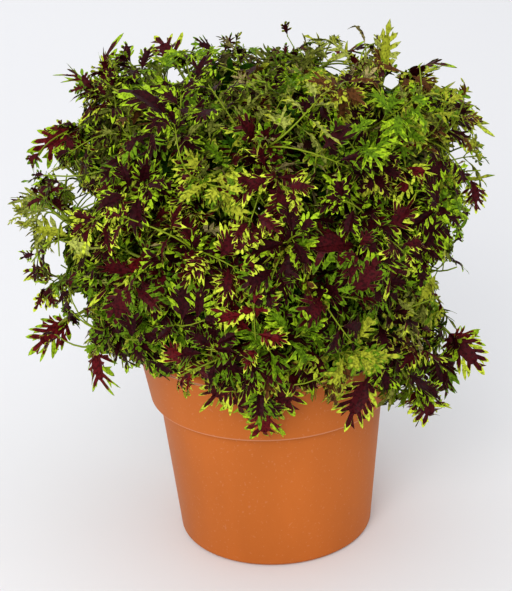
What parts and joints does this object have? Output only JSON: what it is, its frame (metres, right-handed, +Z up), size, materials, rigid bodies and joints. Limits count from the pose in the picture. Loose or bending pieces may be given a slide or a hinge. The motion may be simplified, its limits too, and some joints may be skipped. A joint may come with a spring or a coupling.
{
  "type": "potted coleus",
  "caption": "Bushy coleus with deeply cut maroon and lime leaves in a round terracotta-coloured pot with a banded rim.",
  "frame": {"origin": "centre of the pot's flat underside", "axes": "+Z up; the side seen from the front faces -Y, +X to its right"},
  "size_m": [0.4453, 0.4345, 0.497],
  "materials": {
    "pot_plastic": "smooth matte terracotta-coloured plastic with a soft sheen",
    "compost": "dark damp crumbly peat compost",
    "green_stem": "fleshy square stem, yellow-green, faintly ridged",
    "leaf": "soft matte leaf, dark maroon in the middle with a lime margin"
  },
  "bodies": {
    "root": {"bough_low_1": "green_stem", "bough_low_2": "green_stem", "bough_low_3": "green_stem", "bough_low_4": "green_stem", "bough_low_5": "green_stem", "bough_low_6": "green_stem", "bough_low_7": "green_stem", "bough_low_8": "green_stem", "bough_middle_1": "green_stem", "bough_middle_2": "green_stem", "bough_middle_3": "green_stem", "bough_middle_4": "green_stem", "bough_middle_5": "green_stem", "bough_middle_6": "green_stem", "bough_middle_7": "green_stem", "bough_middle_8": "green_stem", "bough_upper_1": "green_stem", "bough_upper_2": "green_stem", "bough_upper_3": "green_stem", "bough_upper_4": "green_stem", "bough_upper_5": "green_stem", "bough_upper_6": "green_stem", "bough_upper_7": "green_stem", "compost": "compost", "foliage_crown_tip": "leaf", "foliage_low_1": "leaf", "foliage_low_2": "leaf", "foliage_low_3": "leaf", "foliage_low_4": "leaf", "foliage_low_5": "leaf", "foliage_low_6": "leaf", "foliage_low_7": "leaf", "foliage_low_8": "leaf", "foliage_middle_1": "leaf", "foliage_middle_2": "leaf", "foliage_middle_3": "leaf", "foliage_middle_4": "leaf", "foliage_middle_5": "leaf", "foliage_middle_6": "leaf", "foliage_middle_7": "leaf", "foliage_middle_8": "leaf", "foliage_upper_1": "leaf", "foliage_upper_2": "leaf", "foliage_upper_3": "leaf", "foliage_upper_4": "leaf", "foliage_upper_5": "leaf", "foliage_upper_6": "leaf", "foliage_upper_7": "leaf", "main_stem": "green_stem", "pot": "pot_plastic"}
  },
  "joints": []
}
